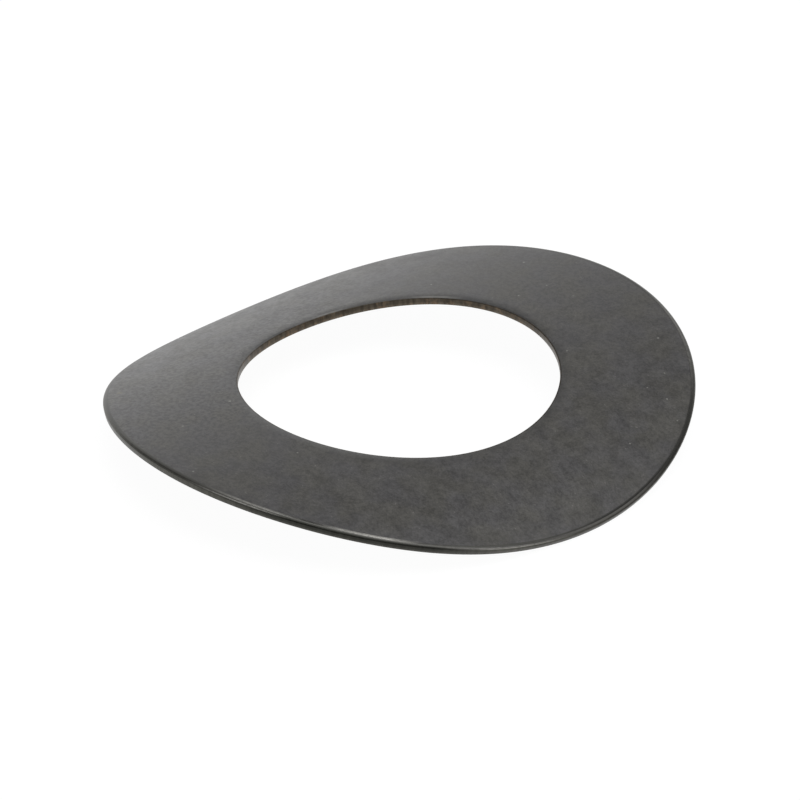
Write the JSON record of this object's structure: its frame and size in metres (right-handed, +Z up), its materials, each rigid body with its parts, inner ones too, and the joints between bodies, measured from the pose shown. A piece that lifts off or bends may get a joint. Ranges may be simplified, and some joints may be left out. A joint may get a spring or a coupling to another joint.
{
  "type": "curved spring washer",
  "caption": "Closed ring of thin dark spring steel, pressed into a shallow arch about one line, with rolled upper edges and a round hole through the middle.",
  "frame": {"origin": "under the middle of the ring, on the surface that its two low ends lie on", "axes": "+Z up, out of the convex side; +Y along the crest of the arch; +X across the arch, towards one low end"},
  "size_m": [0.0436, 0.045, 0.005],
  "materials": {
    "spring_steel": "dark oiled spring steel, satin, with a brown sheared hole wall"
  },
  "bodies": {
    "root": {"washer": "spring_steel"}
  },
  "joints": []
}
